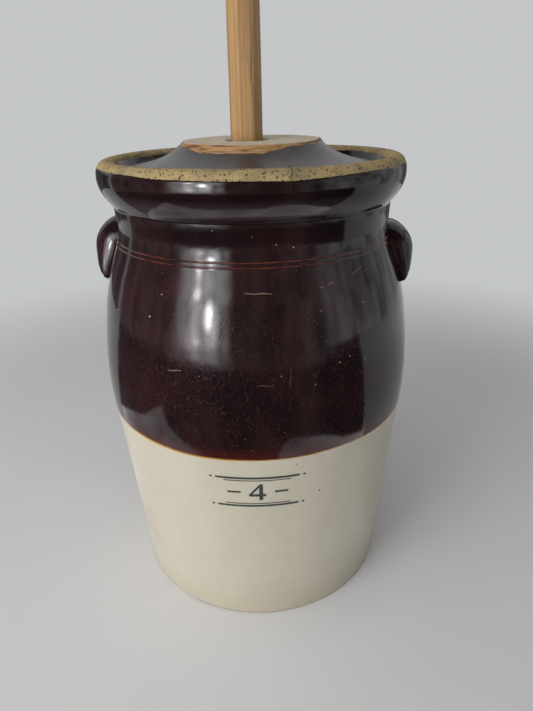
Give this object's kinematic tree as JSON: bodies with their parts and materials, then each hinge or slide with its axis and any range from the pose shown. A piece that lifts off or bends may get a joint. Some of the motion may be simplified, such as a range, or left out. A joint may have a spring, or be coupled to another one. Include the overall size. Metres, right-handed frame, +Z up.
{
  "type": "stoneware butter churn",
  "caption": "Barrel-bellied stoneware jar with ears and a rolled rim, a flared guide lid, and a wooden cross dasher that slides up and down through the lid.",
  "frame": {"origin": "middle of the jar's flat base, where its axis meets the surface it stands on", "axes": "+Z up along the jar's axis and the staff; +X towards the right ear; -Y towards the front, the side that carries the mark"},
  "size_m": [0.2868, 0.2836, 0.79],
  "materials": {
    "jar_glaze": "glossy dark red-brown slip glaze above, cream glaze on the lower part, bare tan clay on the rim",
    "brown_glaze": "glossy dark red-brown slip glaze, the lid's flat top wiped bare",
    "staff_wood": "shaved hardwood, dry and unvarnished",
    "cross_wood": "sawn hardwood boards, washed pale by use",
    "peg_wood": "split hardwood pegs and wedge"
  },
  "bodies": {
    "jar": {"churn_jar": "jar_glaze", "ear_left": "brown_glaze", "ear_right": "brown_glaze"},
    "lid": {"churn_lid": "brown_glaze"},
    "dasher": {"dasher_staff": "staff_wood", "cross_arm_lower": "cross_wood", "cross_arm_upper": "cross_wood", "tenon_wedge": "peg_wood", "cross_peg_1": "peg_wood", "cross_peg_2": "peg_wood", "cross_peg_3": "peg_wood", "cross_peg_4": "peg_wood"}
  },
  "joints": [
    {"name": "dasher_stroke", "type": "slide", "parent": "jar", "child": "dasher", "axis": [0, 0, 1], "range_m": [0, 0.35]},
    {"name": "lid_lift", "type": "slide", "parent": "jar", "child": "lid", "axis": [0, 0, 1], "range_m": [0, 0.42]}
  ]
}
